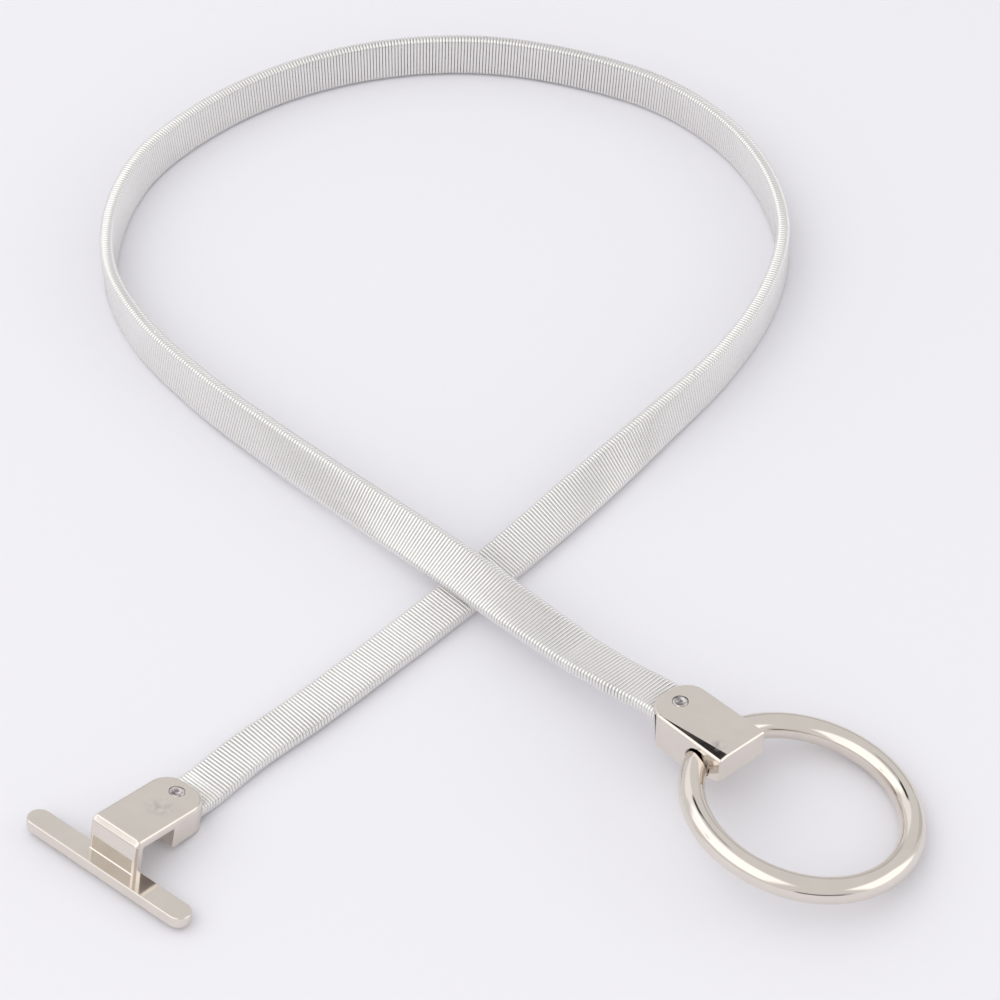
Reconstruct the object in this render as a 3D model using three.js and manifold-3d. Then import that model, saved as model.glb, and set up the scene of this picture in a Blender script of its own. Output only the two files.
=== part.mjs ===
// Elastic metal waist belt, lying open on a table: a flattened coil of spring wire with a T-hook riveted to
// one end, and a box clasp with a loose round ring at the other. Millimetres, +Z up, the table at Z = 0.
import * as THREE from 'three';
import { mergeVertices } from 'three/addons/utils/BufferGeometryUtils.js';
import Module from 'manifold-3d';

const wasm = await Module();
wasm.setup();

// Spring band: wire wound close on a flat former, so the band is a hollow tube one wire thick.
const WIRE_DIAMETER = 0.8;
const BAND_WIDTH = 10.1;
const BAND_THICKNESS = 3.2;
const BAND_CORNER_RADIUS = 1.2;
const BAND_CORNER_STEPS = 3;
const BAND_STEP_LENGTH = 7.7;

// The band's middle line seen from above, from the clasp's leg round the loop to the hook's leg. "lift" is
// how far its lower edge is above the table. "tilt" is 0 where the band lies flat and 90 where it stands on
// edge, and the loop leans out a little past that.
const BAND_STATIONS = [
  { x: 24, y: -61.5, lift: 7.9, tilt: -6 },
  { x: 9, y: -47, lift: 6.6, tilt: 8 },
  { x: -9, y: -28.5, lift: 4.6, tilt: 29 },
  { x: -29, y: -8.5, lift: 2.1, tilt: 52 },
  { x: -49, y: 11.5, lift: 0.6, tilt: 65 },
  { x: -67, y: 30.5, lift: 0, tilt: 75 },
  { x: -81, y: 49, lift: 0, tilt: 84 },
  { x: -89, y: 67.5, lift: 0, tilt: 91 },
  { x: -90, y: 88, lift: 0, tilt: 97 },
  { x: -84.5, y: 108.5, lift: 0, tilt: 99 },
  { x: -71, y: 127, lift: 0, tilt: 99 },
  { x: -52, y: 142, lift: 0, tilt: 99 },
  { x: -29.5, y: 151, lift: 0, tilt: 99 },
  { x: -5, y: 153, lift: 0, tilt: 98 },
  { x: 19.5, y: 147, lift: 0, tilt: 96 },
  { x: 40, y: 136, lift: 0, tilt: 94 },
  { x: 54.5, y: 120, lift: 0, tilt: 94 },
  { x: 63, y: 101, lift: 0, tilt: 92 },
  { x: 65.5, y: 80.5, lift: 0, tilt: 88 },
  { x: 60.5, y: 59.5, lift: 0, tilt: 86 },
  { x: 50, y: 39, lift: 0, tilt: 82 },
  { x: 34.5, y: 18.5, lift: 0, tilt: 67 },
  { x: 16.5, y: -3, lift: 0, tilt: 35 },
  { x: -2.5, y: -24.5, lift: 0, tilt: 9 },
  { x: -21.5, y: -45, lift: 0, tilt: -1 },
  { x: -39, y: -63.5, lift: 0, tilt: -3 },
  { x: -51, y: -75, lift: 0, tilt: -2 },
  { x: -58.5, y: -83.5, lift: 0, tilt: 0 },
];

// Where each casting lies: its own origin, its heading seen from above, how far its far end points up, and
// its roll. Both castings have their own x along the belt and their own z up.
const HOOK_PLACE = { x: -74.3, y: -102.8, z: -0.05, heading: 51, pitch: -12.5, roll: 0 };
const CLASP_PLACE = { x: 47.3, y: -84.6, z: 15.2, heading: -47.5, pitch: 3.5, roll: -4 };

// Widths and running gaps shared by the two castings.
const CASTING_WIDTH = 12.6;
const BAND_GAP = 0.3;
const EDGE_ROUND = 0.35;
const END_CORNER_RADIUS = 4.8;
const RIVET_HEAD_RADIUS = 1.6;
const RIVET_HEAD_HEIGHT = 0.6;
const RIVET_RECESS_DEPTH = 0.7;
const RIVET_SHANK_RADIUS = 0.9;
const ROUND_SIDES = 24;

// T-hook. Its origin is on the underside of the bar, below the neck's rear face.
const BAR_LENGTH = 42;
const BAR_DEPTH = 5.2;
const BAR_THICKNESS = 3;
const HOOK_WIDTH = 12.2;
const NECK_THICKNESS = 1.9;
const PLATE_TOP = 10.9;
const PLATE_THICKNESS = 1.9;
const PLATE_END = 19.8;
const PLATE_DROOP = THREE.MathUtils.degToRad(1.5);
const OUTER_BEND_RADIUS = 1.3;
const INNER_BEND_RADIUS = 0.5;
const SLEEVE_FRONT = 8.8;
const SLEEVE_END = 19.4;
const SLEEVE_BOTTOM = 4.0;
const SLEEVE_WALL = 0.7;
const SLEEVE_REAR_ROUND = 2.2;
const HOOK_RIVET_X = 15.9;

// Ring clasp. Its origin is on the top face, in the middle of the front edge, and the box lies at negative x.
const CLASP_LENGTH = 18;
const CLASP_TONGUE_END = 21.4;
const CLASP_TOP_THICKNESS = 1.1;
const CLASP_FRONT_HEIGHT = 6.4;
const CLASP_FRONT_ROUND = 1;
const CLASP_REAR_HEIGHT = 8.2;
const CLASP_REAR_ROUND = 2;
const CLASP_BRIDGE_BOTTOM = 10;
const BRIDGE_HALF_LENGTH = 4.2;
const BRIDGE_STEP = 0.6;
const POCKET_DEPTH = 5;
const CLASP_RIVET_X = -17.3;

// Ring: its middle and the lean of its plane.
const RING_OUTER_RADIUS = 24.8;
const RING_WIRE_RADIUS = 2.65;
const RING_MIDDLE = { x: 58.8, y: -92.95 };
const RING_LEAN = THREE.MathUtils.degToRad(11.6);
const RING_LEAN_HEADING = THREE.MathUtils.degToRad(19);
const RING_SECTION_SIDES = 14;
const RING_STEPS = 64;

// The tunnel that the ring runs through in the clasp: its radius at distances from its middle. It is wide in
// the middle, where the ring's curve bulges to one side, and close round the ring at both walls.
const TUNNEL_RADII = [
  { along: 0, radius: 3.93 },
  { along: 3.2, radius: 3.73 },
  { along: 6.2, radius: 3.15 },
  { along: 9, radius: 3.8 },
];

// Solids

function solidFrom(geometry) {
  const bare = geometry.clone();
  bare.deleteAttribute('normal');
  bare.deleteAttribute('uv');
  const merged = mergeVertices(bare, 1e-4);
  return new wasm.Manifold(new wasm.Mesh({
    numProp: 3,
    vertProperties: new Float32Array(merged.attributes.position.array),
    triVerts: new Uint32Array(merged.index.array),
  }));
}

function geometryFrom(solid) {
  const result = solid.getMesh();
  const geometry = new THREE.BufferGeometry();
  geometry.setAttribute('position', new THREE.BufferAttribute(result.vertProperties, 3));
  geometry.setIndex(new THREE.BufferAttribute(result.triVerts, 1));
  geometry.computeVertexNormals();
  return geometry;
}

function boxBetween(low, high) {
  const size = high.map((value, axis) => value - low[axis]);
  const middle = high.map((value, axis) => (value + low[axis]) / 2);
  return new THREE.BoxGeometry(...size).translate(...middle);
}

function uprightCylinder(radius, bottom, top, x) {
  const cylinder = new THREE.CylinderGeometry(radius, radius, top - bottom, ROUND_SIDES);
  return cylinder.rotateX(Math.PI / 2).translate(x, 0, (bottom + top) / 2);
}

// The hole for a rivet's shank, and the recess for its head.
function rivetHole(bottom, top, x) {
  return uprightCylinder(RIVET_SHANK_RADIUS + BAND_GAP, bottom, top, x);
}

function rivetRecess(bottom, top, x) {
  return uprightCylinder(RIVET_HEAD_RADIUS + BAND_GAP, bottom, top, x);
}

// An outline in x and y, extruded up from "bottom" to "top" with rounded edges.
function extrudedUp(shape, bottom, top, round) {
  const geometry = new THREE.ExtrudeGeometry(shape, {
    depth: top - bottom - 2 * round,
    bevelEnabled: round > 0,
    bevelThickness: round,
    bevelSize: round,
    bevelOffset: -round,
    bevelSegments: 2,
    curveSegments: 8,
  });
  return geometry.translate(0, 0, bottom + round);
}

// A side profile in x and z, extruded across the casting's width.
function extrudedAcross(shape, width, round) {
  const geometry = extrudedUp(shape, -width / 2, width / 2, round);
  return geometry.rotateX(Math.PI / 2);
}

// A straight-sided plan with a square end at "front" and a round-cornered end at "rear".
function roundEndedPlan(front, rear, width) {
  const direction = Math.sign(rear - front);
  const half = width / 2;
  const corner = rear - direction * END_CORNER_RADIUS;
  const cornerY = half - END_CORNER_RADIUS;
  const shape = new THREE.Shape();
  shape.moveTo(front, -half);
  shape.lineTo(corner, -half);
  if (direction > 0) {
    shape.absarc(corner, -cornerY, END_CORNER_RADIUS, -Math.PI / 2, 0, false);
    shape.absarc(corner, cornerY, END_CORNER_RADIUS, 0, Math.PI / 2, false);
  } else {
    shape.absarc(corner, -cornerY, END_CORNER_RADIUS, -Math.PI / 2, -Math.PI, true);
    shape.absarc(corner, cornerY, END_CORNER_RADIUS, -Math.PI, -Math.PI * 1.5, true);
  }
  shape.lineTo(front, half);
  shape.closePath();
  return shape;
}

function placeMatrix(place) {
  const heading = THREE.MathUtils.degToRad(place.heading);
  const pitch = THREE.MathUtils.degToRad(place.pitch);
  const roll = THREE.MathUtils.degToRad(place.roll);
  const turn = new THREE.Matrix4().makeRotationZ(heading);
  turn.multiply(new THREE.Matrix4().makeRotationY(-pitch));
  turn.multiply(new THREE.Matrix4().makeRotationX(roll));
  return turn.setPosition(place.x, place.y, place.z);
}

const hookMatrix = placeMatrix(HOOK_PLACE);
const claspMatrix = placeMatrix(CLASP_PLACE);

// Band

// Half the band's height above the table when it is turned by "tilt".
function halfHeight(tilt) {
  const turn = THREE.MathUtils.degToRad(tilt);
  const flatAcross = BAND_WIDTH / 2 - BAND_CORNER_RADIUS;
  const flatThrough = BAND_THICKNESS / 2 - BAND_CORNER_RADIUS;
  return flatAcross * Math.abs(Math.sin(turn)) + flatThrough * Math.abs(Math.cos(turn)) + BAND_CORNER_RADIUS;
}

const claspBandZ = -CLASP_TOP_THICKNESS - BAND_GAP - BAND_THICKNESS / 2;
const sleeveFloor = SLEEVE_BOTTOM + SLEEVE_WALL;
const hookBandZ = sleeveFloor + BAND_GAP + BAND_THICKNESS / 2;
const hookBandEnd = SLEEVE_FRONT + SLEEVE_WALL + BAND_GAP;
const pocketFloorX = -CLASP_LENGTH + POCKET_DEPTH;
const claspBandEnd = pocketFloorX - BAND_GAP;
const claspPocketBottom = -CLASP_TOP_THICKNESS - BAND_THICKNESS - 2 * BAND_GAP;

// A station inside a casting: the band's middle line follows the casting there.
function stationIn(matrix, x, z, tilt) {
  const point = new THREE.Vector3(x, 0, z).applyMatrix4(matrix);
  return { x: point.x, y: point.y, lift: point.z - halfHeight(tilt), tilt };
}

const bandStations = [
  stationIn(claspMatrix, claspBandEnd, claspBandZ, CLASP_PLACE.roll),
  stationIn(claspMatrix, -CLASP_LENGTH, claspBandZ, CLASP_PLACE.roll),
  stationIn(claspMatrix, -CLASP_TONGUE_END, claspBandZ, CLASP_PLACE.roll),
  ...BAND_STATIONS,
  stationIn(hookMatrix, SLEEVE_END, hookBandZ, 0),
  stationIn(hookMatrix, SLEEVE_END - SLEEVE_REAR_ROUND, hookBandZ, 0),
  stationIn(hookMatrix, hookBandEnd, hookBandZ, 0),
];

// A smooth curve through the stations, in all four columns, with the slope at each station worked out from
// its two neighbours and their distances.
function smoothRows(stations, stepLength) {
  const keys = ['x', 'y', 'lift', 'tilt'];
  const gaps = [];
  for (let i = 0; i + 1 < stations.length; i += 1) {
    gaps.push(Math.hypot(stations[i + 1].x - stations[i].x, stations[i + 1].y - stations[i].y));
  }
  const slope = (i, key) => {
    const before = i > 0 ? (stations[i][key] - stations[i - 1][key]) / gaps[i - 1] : null;
    const after = i < gaps.length ? (stations[i + 1][key] - stations[i][key]) / gaps[i] : null;
    if (before === null) return after;
    if (after === null) return before;
    return (before * gaps[i] + after * gaps[i - 1]) / (gaps[i] + gaps[i - 1]);
  };
  const rows = [];
  for (let i = 0; i < gaps.length; i += 1) {
    const steps = Math.max(1, Math.round(gaps[i] / stepLength));
    for (let step = i === 0 ? 0 : 1; step <= steps; step += 1) {
      const t = step / steps;
      const row = {};
      for (const key of keys) {
        const start = stations[i][key];
        const end = stations[i + 1][key];
        row[key] = start * (1 + 2 * t) * (1 - t) ** 2 + end * (3 - 2 * t) * t ** 2
          + gaps[i] * (slope(i, key) * t * (1 - t) ** 2 - slope(i + 1, key) * (1 - t) * t ** 2);
      }
      row.lift = Math.max(0, row.lift);
      rows.push(row);
    }
  }
  return rows;
}

// Turns each row into a section frame: the middle, the direction along the width and the one through the
// thickness, which points to the band's outer face.
function sectionFrames(rows) {
  const points = rows.map((row) => new THREE.Vector3(row.x, row.y, row.lift + halfHeight(row.tilt)));
  return points.map((middle, i) => {
    const ahead = points[Math.min(i + 1, points.length - 1)];
    const behind = points[Math.max(i - 1, 0)];
    const along = ahead.clone().sub(behind).normalize();
    const inward = new THREE.Vector3(along.y, -along.x, 0).normalize();
    const up = inward.clone().cross(along);
    const tilt = THREE.MathUtils.degToRad(rows[i].tilt);
    const width = inward.multiplyScalar(Math.cos(tilt)).addScaledVector(up, Math.sin(tilt));
    const through = along.clone().cross(width).negate();
    return { middle, width, through };
  });
}

// A rectangle with round corners, as points across the width and through the thickness.
function roundedSection(width, thickness, radius) {
  const points = [];
  for (let corner = 0; corner < 4; corner += 1) {
    const signWidth = corner === 0 || corner === 3 ? 1 : -1;
    const signThrough = corner < 2 ? 1 : -1;
    for (let step = 0; step <= BAND_CORNER_STEPS; step += 1) {
      const angle = (corner + step / BAND_CORNER_STEPS) * Math.PI / 2;
      points.push({
        across: signWidth * (width / 2 - radius) + radius * Math.cos(angle),
        through: signThrough * (thickness / 2 - radius) + radius * Math.sin(angle),
      });
    }
  }
  return points;
}

function springBand() {
  const frames = sectionFrames(smoothRows(bandStations, BAND_STEP_LENGTH));
  const outer = roundedSection(BAND_WIDTH, BAND_THICKNESS, BAND_CORNER_RADIUS);
  const innerRadius = BAND_CORNER_RADIUS - WIRE_DIAMETER;
  const innerWidth = BAND_WIDTH - 2 * WIRE_DIAMETER;
  const inner = roundedSection(innerWidth, BAND_THICKNESS - 2 * WIRE_DIAMETER, innerRadius);
  const count = outer.length;
  const positions = [];
  for (const frame of frames) {
    for (const point of [...outer, ...inner]) {
      const place = frame.middle.clone().addScaledVector(frame.width, point.across);
      place.addScaledVector(frame.through, point.through);
      positions.push(place.x, place.y, place.z);
    }
  }
  const index = [];
  const quad = (a, b, c, d) => index.push(a, b, c, a, c, d);
  const outerPoint = (row, i) => row * 2 * count + (i % count);
  const innerPoint = (row, i) => row * 2 * count + count + (i % count);
  const last = frames.length - 1;
  for (let i = 0; i < count; i += 1) {
    for (let row = 0; row < last; row += 1) {
      quad(outerPoint(row, i), outerPoint(row + 1, i), outerPoint(row + 1, i + 1), outerPoint(row, i + 1));
      quad(innerPoint(row, i), innerPoint(row, i + 1), innerPoint(row + 1, i + 1), innerPoint(row + 1, i));
    }
    quad(outerPoint(0, i), outerPoint(0, i + 1), innerPoint(0, i + 1), innerPoint(0, i));
    quad(outerPoint(last, i), innerPoint(last, i), innerPoint(last, i + 1), outerPoint(last, i + 1));
  }
  const geometry = new THREE.BufferGeometry();
  geometry.setAttribute('position', new THREE.Float32BufferAttribute(positions, 3));
  geometry.setIndex(index);
  const hookHole = rivetHole(SLEEVE_BOTTOM, PLATE_TOP, HOOK_RIVET_X).applyMatrix4(hookMatrix);
  const claspHole = rivetHole(-CLASP_REAR_HEIGHT, 0, CLASP_RIVET_X).applyMatrix4(claspMatrix);
  return geometryFrom(solidFrom(geometry).subtract(solidFrom(hookHole)).subtract(solidFrom(claspHole)));
}

// T-hook

function hookBar() {
  const half = BAR_LENGTH / 2 - BAR_DEPTH / 2;
  const shape = new THREE.Shape();
  shape.moveTo(0, -half);
  shape.lineTo(0, half);
  shape.absarc(-BAR_DEPTH / 2, half, BAR_DEPTH / 2, 0, Math.PI, false);
  shape.lineTo(-BAR_DEPTH, -half);
  shape.absarc(-BAR_DEPTH / 2, -half, BAR_DEPTH / 2, Math.PI, 2 * Math.PI, false);
  return extrudedUp(shape, 0, BAR_THICKNESS, EDGE_ROUND);
}

// The neck and the top plate are one strip, bent forward of the band and over it.
function hookBracket() {
  const slope = Math.tan(PLATE_DROOP);
  const reach = PLATE_END + 1;
  const underside = PLATE_TOP - PLATE_THICKNESS;
  const innerBendZ = underside - INNER_BEND_RADIUS;
  const shape = new THREE.Shape();
  shape.moveTo(-NECK_THICKNESS, BAR_THICKNESS / 2);
  shape.lineTo(0, BAR_THICKNESS / 2);
  shape.lineTo(0, innerBendZ);
  shape.absarc(INNER_BEND_RADIUS, innerBendZ, INNER_BEND_RADIUS, Math.PI, Math.PI / 2, true);
  shape.lineTo(reach, underside - slope * reach);
  shape.lineTo(reach, PLATE_TOP - slope * reach);
  shape.lineTo(OUTER_BEND_RADIUS - NECK_THICKNESS, PLATE_TOP);
  shape.absarc(OUTER_BEND_RADIUS - NECK_THICKNESS, PLATE_TOP - OUTER_BEND_RADIUS, OUTER_BEND_RADIUS,
    Math.PI / 2, Math.PI, false);
  shape.closePath();
  return extrudedAcross(shape, HOOK_WIDTH, EDGE_ROUND);
}

// The sleeve seen from the side: its bottom curves up to the rear, which keeps it clear of the table.
function sleeveSide() {
  const top = PLATE_TOP - PLATE_THICKNESS;
  const shape = new THREE.Shape();
  shape.moveTo(SLEEVE_FRONT - 1, SLEEVE_BOTTOM);
  shape.lineTo(SLEEVE_END - SLEEVE_REAR_ROUND, SLEEVE_BOTTOM);
  shape.absarc(SLEEVE_END - SLEEVE_REAR_ROUND, SLEEVE_BOTTOM + SLEEVE_REAR_ROUND, SLEEVE_REAR_ROUND,
    -Math.PI / 2, 0, false);
  shape.lineTo(SLEEVE_END, top + 1);
  shape.lineTo(SLEEVE_FRONT - 1, top + 1);
  shape.closePath();
  return extrudedAcross(shape, HOOK_WIDTH + 1, 0);
}

const hookRecessFloor = PLATE_TOP - Math.tan(PLATE_DROOP) * HOOK_RIVET_X - RIVET_RECESS_DEPTH;

function tHook() {
  const plateUnderside = PLATE_TOP - PLATE_THICKNESS;
  const planLimit = extrudedUp(roundEndedPlan(-BAR_DEPTH, PLATE_END, HOOK_WIDTH), 0, PLATE_TOP + 1, 0);
  const bracket = solidFrom(hookBracket()).intersect(solidFrom(planLimit));
  const sleevePlan = roundEndedPlan(SLEEVE_FRONT, SLEEVE_END, HOOK_WIDTH);
  const uprightSleeve = solidFrom(extrudedUp(sleevePlan, SLEEVE_BOTTOM, plateUnderside, EDGE_ROUND));
  const sleeve = uprightSleeve.intersect(solidFrom(sleeveSide()));
  const halfPocket = BAND_WIDTH / 2 + BAND_GAP;
  const pocket = solidFrom(boxBetween(
    [SLEEVE_FRONT + SLEEVE_WALL, -halfPocket, sleeveFloor],
    [PLATE_END + 1, halfPocket, sleeveFloor + BAND_THICKNESS + 2 * BAND_GAP],
  ));
  const recess = solidFrom(rivetRecess(hookRecessFloor, PLATE_TOP + 1, HOOK_RIVET_X));
  const hole = solidFrom(rivetHole(SLEEVE_BOTTOM - 1, PLATE_TOP, HOOK_RIVET_X));
  const body = solidFrom(hookBar()).add(bracket).add(sleeve);
  return geometryFrom(body.subtract(pocket).subtract(recess).subtract(hole));
}

// A rivet: a low domed head in the recess, and a shank that ends level with "foot".
function rivet(headFloor, foot, x) {
  const seat = headFloor + BAND_GAP;
  const profile = [
    new THREE.Vector2(0, foot),
    new THREE.Vector2(RIVET_SHANK_RADIUS, foot),
    new THREE.Vector2(RIVET_SHANK_RADIUS, seat),
    new THREE.Vector2(RIVET_HEAD_RADIUS, seat),
    new THREE.Vector2(RIVET_HEAD_RADIUS * 0.8, seat + RIVET_HEAD_HEIGHT * 0.6),
    new THREE.Vector2(RIVET_HEAD_RADIUS * 0.4, seat + RIVET_HEAD_HEIGHT * 0.9),
    new THREE.Vector2(0, seat + RIVET_HEAD_HEIGHT),
  ];
  return new THREE.LatheGeometry(profile, ROUND_SIDES).rotateX(Math.PI / 2).translate(x, 0, 0);
}

function hookRivet() {
  return rivet(hookRecessFloor, SLEEVE_BOTTOM + BAND_GAP, HOOK_RIVET_X);
}

// Ring and its tunnel

const ringMatrix = (() => {
  const radius = RING_OUTER_RADIUS - RING_WIRE_RADIUS;
  const height = radius * Math.sin(RING_LEAN) + RING_WIRE_RADIUS;
  const turn = new THREE.Matrix4().makeRotationZ(RING_LEAN_HEADING);
  turn.multiply(new THREE.Matrix4().makeRotationY(RING_LEAN));
  return turn.setPosition(RING_MIDDLE.x, RING_MIDDLE.y, height);
})();

function ring() {
  const radius = RING_OUTER_RADIUS - RING_WIRE_RADIUS;
  return new THREE.TorusGeometry(radius, RING_WIRE_RADIUS, RING_SECTION_SIDES, RING_STEPS);
}

// Where the ring's middle line crosses one side of the clasp, in the clasp's own frame.
function ringCrossing(side) {
  const radius = RING_OUTER_RADIUS - RING_WIRE_RADIUS;
  const toClasp = claspMatrix.clone().invert().multiply(ringMatrix);
  const at = (angle) => new THREE.Vector3(radius * Math.cos(angle), radius * Math.sin(angle), 0)
    .applyMatrix4(toClasp);
  let best = null;
  for (let step = 0; step < 7200; step += 1) {
    const point = at(step * Math.PI / 3600);
    const miss = Math.abs(point.y - side);
    if (point.x < 0 && (best === null || miss < best.miss)) best = { miss, point };
  }
  return best.point;
}

const nearCrossing = ringCrossing(-CASTING_WIDTH / 2);
const farCrossing = ringCrossing(CASTING_WIDTH / 2);

// The tunnel's axis, which the ring swings about, joins the two points where its middle line crosses the
// walls.
const tunnelMiddle = nearCrossing.clone().add(farCrossing).multiplyScalar(0.5);
const tunnelDirection = farCrossing.clone().sub(nearCrossing).normalize();

function tunnel() {
  const farHalf = TUNNEL_RADII.map((row) => new THREE.Vector2(row.radius, row.along));
  const nearHalf = TUNNEL_RADII.slice(1).map((row) => new THREE.Vector2(row.radius, -row.along)).reverse();
  const end = TUNNEL_RADII[TUNNEL_RADII.length - 1].along;
  const profile = [new THREE.Vector2(0, -end), ...nearHalf, ...farHalf, new THREE.Vector2(0, end)];
  const turn = new THREE.Quaternion().setFromUnitVectors(new THREE.Vector3(0, 1, 0), tunnelDirection);
  const geometry = new THREE.LatheGeometry(profile, ROUND_SIDES);
  return geometry.applyQuaternion(turn).translate(tunnelMiddle.x, tunnelMiddle.y, tunnelMiddle.z);
}

// Ring clasp

// The box's side profile. The ring's tunnel is closed underneath by a rounded bridge.
function claspBody() {
  const bridgeMiddle = tunnelMiddle.x;
  const bridgeFront = bridgeMiddle + BRIDGE_HALF_LENGTH;
  const bridgeRear = bridgeMiddle - BRIDGE_HALF_LENGTH;
  const bottom = -CLASP_BRIDGE_BOTTOM;
  const bridgeFrontZ = -CLASP_FRONT_HEIGHT - BRIDGE_STEP;
  const rearRoundEnd = -CLASP_LENGTH + CLASP_REAR_ROUND;
  const shape = new THREE.Shape();
  shape.moveTo(-CLASP_LENGTH, 0);
  shape.lineTo(-CLASP_LENGTH, -CLASP_REAR_HEIGHT + CLASP_REAR_ROUND);
  shape.quadraticCurveTo(-CLASP_LENGTH, -CLASP_REAR_HEIGHT, rearRoundEnd, -CLASP_REAR_HEIGHT);
  shape.lineTo(bridgeRear, -CLASP_REAR_HEIGHT);
  shape.quadraticCurveTo((bridgeRear + bridgeMiddle) / 2, bottom, bridgeMiddle, bottom);
  shape.quadraticCurveTo((bridgeFront + bridgeMiddle) / 2, bottom, bridgeFront, bridgeFrontZ);
  shape.lineTo(-CLASP_FRONT_ROUND, -CLASP_FRONT_HEIGHT);
  shape.quadraticCurveTo(0, -CLASP_FRONT_HEIGHT, 0, -CLASP_FRONT_HEIGHT + CLASP_FRONT_ROUND);
  shape.lineTo(0, 0);
  shape.closePath();
  return extrudedAcross(shape, CASTING_WIDTH, EDGE_ROUND);
}

function ringClasp() {
  const tonguePlan = roundEndedPlan(-CLASP_LENGTH / 2, -CLASP_TONGUE_END, CASTING_WIDTH);
  const tongue = solidFrom(extrudedUp(tonguePlan, -CLASP_TOP_THICKNESS, 0, EDGE_ROUND));
  const halfPocket = BAND_WIDTH / 2 + BAND_GAP;
  const pocket = solidFrom(boxBetween(
    [-CLASP_TONGUE_END - 1, -halfPocket, claspPocketBottom],
    [pocketFloorX, halfPocket, -CLASP_TOP_THICKNESS],
  ));
  const recess = solidFrom(rivetRecess(-RIVET_RECESS_DEPTH, 1, CLASP_RIVET_X));
  const hole = solidFrom(rivetHole(-CLASP_TOP_THICKNESS - 1, 0, CLASP_RIVET_X));
  const body = solidFrom(claspBody()).add(tongue);
  return geometryFrom(body.subtract(pocket).subtract(recess).subtract(hole).subtract(solidFrom(tunnel())));
}

function claspRivet() {
  return rivet(-RIVET_RECESS_DEPTH, claspPocketBottom + BAND_GAP, CLASP_RIVET_X);
}

// Materials

const metal = (color, roughness) => new THREE.MeshStandardMaterial({ color, roughness, metalness: 1 });
const springSteel = () => metal(0xd5d7d9, 0.3);
const polishedNickel = () => metal(0xd6cdc1, 0.12);
const rivetSteel = () => metal(0xb9b7b8, 0.35);

// Assembly

function namedMesh(name, geometry, material, matrix) {
  const mesh = new THREE.Mesh(geometry, material);
  mesh.name = name;
  if (matrix) mesh.applyMatrix4(matrix);
  return mesh;
}

const belt = new THREE.Group();
belt.add(namedMesh('spring_band', springBand(), springSteel()));
belt.add(namedMesh('t_hook', tHook(), polishedNickel(), hookMatrix));
belt.add(namedMesh('hook_rivet', hookRivet(), rivetSteel(), hookMatrix));
belt.add(namedMesh('ring_clasp', ringClasp(), polishedNickel(), claspMatrix));
belt.add(namedMesh('clasp_rivet', claspRivet(), rivetSteel(), claspMatrix));
belt.add(namedMesh('ring', ring(), polishedNickel(), ringMatrix));

// The origin is under the middle of the whole belt.
belt.updateMatrixWorld(true);
const span = new THREE.Box3().setFromObject(belt, true);
const middle = span.getCenter(new THREE.Vector3());
const toMiddle = new THREE.Matrix4().makeTranslation(-middle.x, -middle.y, 0);
for (const piece of belt.children) piece.applyMatrix4(toMiddle);

export default belt;
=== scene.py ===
"""The finished look of an elastic metal waist belt: real coil wire, softened castings, rivets and ring.

Lengths in the tables are millimetres, in the frame in which the belt was measured. SHIFT takes that frame
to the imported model's, and MM takes millimetres to Blender's metres.
"""
import math

import bmesh
import bpy
import numpy as np
from mathutils import Matrix, Vector


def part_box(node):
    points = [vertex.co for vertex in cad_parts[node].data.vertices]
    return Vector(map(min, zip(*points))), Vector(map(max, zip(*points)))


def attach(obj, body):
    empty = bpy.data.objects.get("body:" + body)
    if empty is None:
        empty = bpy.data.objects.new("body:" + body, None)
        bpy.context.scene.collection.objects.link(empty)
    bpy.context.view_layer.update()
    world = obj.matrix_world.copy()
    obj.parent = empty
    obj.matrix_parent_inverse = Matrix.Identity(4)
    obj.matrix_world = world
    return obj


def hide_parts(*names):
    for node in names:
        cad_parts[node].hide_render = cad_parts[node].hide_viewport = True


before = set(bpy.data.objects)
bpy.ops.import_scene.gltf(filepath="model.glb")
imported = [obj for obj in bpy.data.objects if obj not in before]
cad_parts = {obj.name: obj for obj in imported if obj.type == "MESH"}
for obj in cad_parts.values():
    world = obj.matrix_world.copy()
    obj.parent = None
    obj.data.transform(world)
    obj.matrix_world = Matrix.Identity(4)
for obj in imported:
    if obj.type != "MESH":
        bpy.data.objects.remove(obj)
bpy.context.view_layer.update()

MM = 0.001

# Spring band.
WIRE_DIAMETER = 0.8
BAND_WIDTH = 10.1
BAND_THICKNESS = 3.2
BAND_CORNER_RADIUS = 1.2
WIRE_PITCH = 0.79
# A little less than half the wire's diameter, to keep neighbouring turns apart.
DRAWN_WIRE_RADIUS = 0.385
WIRE_SIDES = 8
CORNER_STEPS = 4
FACE_STEPS = 3
PATH_STEP = 0.5
COIL_PIECES = 4

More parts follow.
